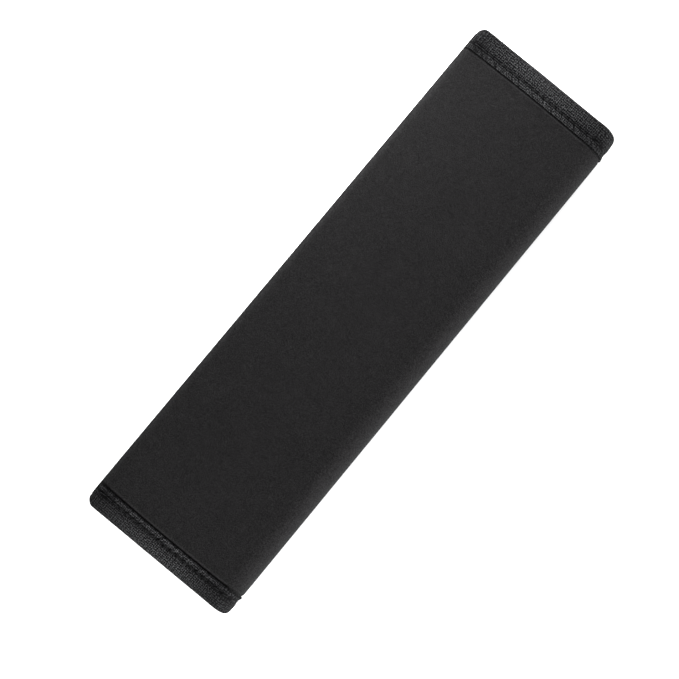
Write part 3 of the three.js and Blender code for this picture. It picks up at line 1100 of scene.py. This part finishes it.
def makeStripSeam(half, name, node, tree, material):  # a closed row round the strip's border
    step = fasteners["stitchLength"]
    border = strip["selvedge"] / 2
    left, right, far = stripStart + border, stripFinish - border, stripHalfLength - border
    long = np.arange(-far + step / 2, far, step)
    short = np.arange(left + step / 2, right, step)
    sideU = np.concatenate([np.full(len(long), left), np.full(len(long), right)])
    sideY = np.concatenate([long, long])
    places, along, out = guideOnStrip(half, sideU, sideY, fasteners["stitchHeight"])
    endU = np.concatenate([short, short])
    endY = np.concatenate([np.full(len(short), -far), np.full(len(short), far)])
    endPlaces, _, endOut = guideOnStrip(half, endU, endY, fasteners["stitchHeight"])
    beside = [foldSheet(half * (endU + shift), -stripBack, endY) for shift in (probe, -probe)]
    across = unit(beside[0] - beside[1])
    pairs = ((places, endPlaces), (along, across), (out, endOut))
    guide = tuple(np.concatenate(pair) for pair in pairs)
    addArches(name, node, tree, guide, stripStitchShape, material)


# floor, light and camera

studio = {
    "floorHalf": 3000,
    "floorColour": (0.92, 0.92, 0.92),
    "skyStrength": 0.85,
    "photoFocal": 1668.1,  # in pixels
    "photoWidth": 679,
    "sensorWidth": 36,
    "place": (0.007777, -0.06995, 0.708962),
    "aim": (0.00052, -0.01039, 0),
    "turn": 32.661,  # round the line of sight, in degrees
}

lamps = {
    "keyLamp": {"place": (-0.18, 0.11, 0.1), "size": (0.2, 0.1), "power": 2.0},
    "foldLamp": {"place": (0.45, 0.02, 0.038), "size": (0.4, 0.08), "power": 8.6},
    "farLamp": {"place": (-0.05, 0.42, 0.1), "size": (0.2, 0.1), "power": 2.2},
    "nearLamp": {"place": (0.02, -0.4, 0.08), "size": (0.2, 0.1), "power": 3.8},
}


def makeFloor():
    half = studio["floorHalf"]
    corners = [(-half, -half, 0), (half, -half, 0), (half, half, 0), (-half, half, 0)]
    floor = meshFrom("floor", corners, [(0, 1, 2, 3)])
    colour = (*studio["floorColour"], 1)
    shader = {"Roughness": 0.9, "Specular IOR Level": 0.1, "Base Color": colour}
    floor.data.materials.append(newMaterial("paperWhite", shader)[0])
    floor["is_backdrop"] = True


def lookingAt(place, aim):
    direction = Vector(aim) - Vector(place)
    return Matrix.Translation(place) @ direction.to_track_quat("-Z", "Y").to_matrix().to_4x4()


def makeLamps():
    for name, lamp in lamps.items():
        light = bpy.data.lights.new(name, "AREA")
        light.shape = "RECTANGLE"
        light.size, light.size_y = lamp["size"]
        light.energy = lamp["power"]
        holder = bpy.data.objects.new(name, light)
        holder.matrix_world = lookingAt(lamp["place"], (0, 0, 0))
        bpy.context.scene.collection.objects.link(holder)


def makeSky():
    world = bpy.data.worlds.new("studioSky")
    world.use_nodes = True
    background = world.node_tree.nodes["Background"]
    background.inputs["Color"].default_value = (1, 1, 1, 1)
    background.inputs["Strength"].default_value = studio["skyStrength"]
    bpy.context.scene.world = world


def makeCamera():
    data = bpy.data.cameras.new("photoCamera")
    data.sensor_width = studio["sensorWidth"]
    data.lens = studio["photoFocal"] / studio["photoWidth"] * data.sensor_width
    camera = bpy.data.objects.new("photoCamera", data)
    turn = Matrix.Rotation(math.radians(studio["turn"]), 4, "Z")
    camera.matrix_world = lookingAt(studio["place"], studio["aim"]) @ turn
    bpy.context.scene.collection.objects.link(camera)
    bpy.context.scene.camera = camera


# the pad is put together

print("cad box", [list(map(float, corner)) for corner in cadBox])

weaveMaterial = makeWeave()
makeCover(makeVelour())
makeFoam(makeFoamCells())
makeLining(makeKnit())
makeBinding("upper_binding_tape", "upper_binding", 1, weaveMaterial)
makeBinding("lower_binding_tape", "lower_binding", -1, weaveMaterial)
print("sheet and bindings made")

arches = archTree()
thread = makePlain("sewingThread")
for endName, end in (("upper", 1), ("lower", -1)):
    for threadName, side in (("needle", 1), ("bobbin", -1)):
        seamName = f"{endName}_{threadName}"
        makeBindingSeam(end, side, seamName + "_stitches", seamName + "_thread", arches, thread)
print("binding seams made")

ground = makePlain("stripGround")
makeStripGround(1, "hook_strip_ground", "hook_strip", ground)
makeStripGround(-1, "loop_strip_ground", "loop_strip", ground)
makeStripSeam(1, "hook_strip_stitches", "hook_strip_thread", arches, thread)
makeStripSeam(-1, "loop_strip_stitches", "loop_strip_thread", arches, thread)
hookNylon = makePlain("hookNylon")
loopNylon = makePlain("loopNylon")
makePile(1, "hook_strip_hooks", fasteners["hookPitch"], hookShape, arches, hookNylon)
makePile(-1, "loop_strip_loops", fasteners["loopPitch"], loopShape, arches, loopNylon)
print("fastening strips made")

makeFloor()
makeLamps()
makeSky()
makeCamera()
bpy.context.scene.view_settings.view_transform = "Standard"
print("floor, light and camera set")

boxes = {"cad": cadBox, "visual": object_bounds()}
for name, box in boxes.items():
    boxes[name] = [[float(value) for value in corner] for corner in box]
